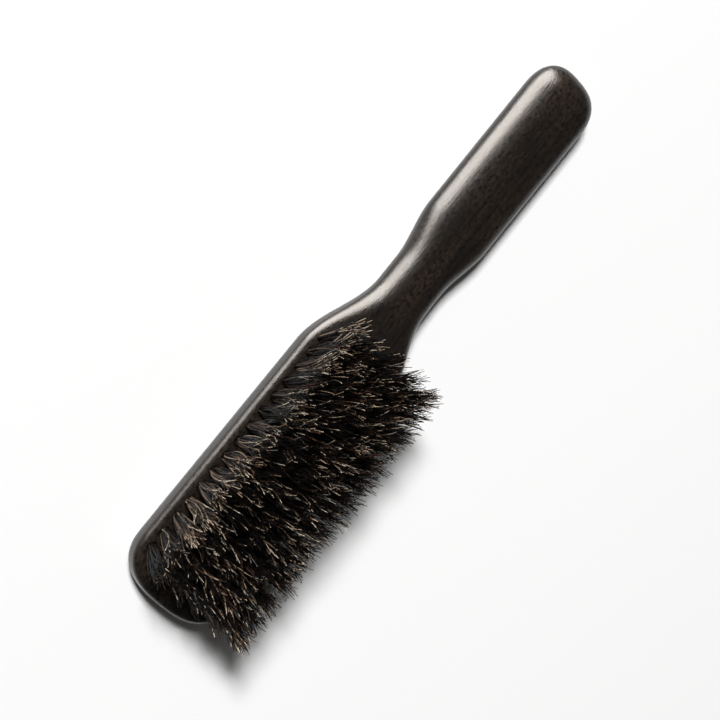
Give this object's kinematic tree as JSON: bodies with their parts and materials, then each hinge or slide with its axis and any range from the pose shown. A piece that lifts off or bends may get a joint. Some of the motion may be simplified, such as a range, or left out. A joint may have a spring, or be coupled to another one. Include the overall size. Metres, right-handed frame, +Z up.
{
  "type": "fade brush",
  "caption": "Barber's fade brush: rectangular wooden head with rounded toe, waisted neck and flat rounded grip in black-stained wood, set with ranks of short mixed boar bristle.",
  "frame": {"origin": "on the plane that the brush rests on, under the middle of its length and width", "axes": "+X from the toe of the head to the end of the grip, +Y to the left seen from the toe, +Z up, the way the bristles point"},
  "size_m": [0.19, 0.0362, 0.033],
  "materials": {
    "ebonised_wood": "black-brown stain with a satin oiled surface, fine lengthwise grain",
    "boar_bristle": "natural boar bristle, mostly black-brown with blonde and red-brown strands and paler split tips",
    "anchor_wire": "plain drawn wire"
  },
  "bodies": {
    "root": {"wooden_stock": "ebonised_wood", "tuft_pair_left_01": "boar_bristle", "tuft_middle_01": "boar_bristle", "tuft_pair_right_01": "boar_bristle", "tuft_pair_left_02": "boar_bristle", "tuft_middle_02": "boar_bristle", "tuft_pair_right_02": "boar_bristle", "tuft_pair_left_03": "boar_bristle", "tuft_middle_03": "boar_bristle", "tuft_pair_right_03": "boar_bristle", "tuft_pair_left_04": "boar_bristle", "tuft_middle_04": "boar_bristle", "tuft_pair_right_04": "boar_bristle", "tuft_pair_left_05": "boar_bristle", "tuft_middle_05": "boar_bristle", "tuft_pair_right_05": "boar_bristle", "tuft_pair_left_06": "boar_bristle", "tuft_middle_06": "boar_bristle", "tuft_pair_right_06": "boar_bristle", "tuft_pair_left_07": "boar_bristle", "tuft_middle_07": "boar_bristle", "tuft_pair_right_07": "boar_bristle", "tuft_pair_left_08": "boar_bristle", "tuft_middle_08": "boar_bristle", "tuft_pair_right_08": "boar_bristle", "tuft_pair_left_09": "boar_bristle", "tuft_middle_09": "boar_bristle", "tuft_pair_right_09": "boar_bristle", "tuft_pair_left_10": "boar_bristle", "tuft_middle_10": "boar_bristle", "tuft_pair_right_10": "boar_bristle", "tuft_pair_left_11": "boar_bristle", "tuft_middle_11": "boar_bristle", "tuft_pair_right_11": "boar_bristle", "tuft_pair_left_12": "boar_bristle", "tuft_middle_12": "boar_bristle", "tuft_pair_right_12": "boar_bristle", "tuft_pair_left_13": "boar_bristle", "tuft_middle_13": "boar_bristle", "tuft_pair_right_13": "boar_bristle", "tuft_pair_left_14": "boar_bristle", "tuft_middle_14": "boar_bristle", "tuft_pair_right_14": "boar_bristle", "tuft_pair_left_15": "boar_bristle", "tuft_middle_15": "boar_bristle", "tuft_pair_right_15": "boar_bristle"}
  },
  "joints": []
}
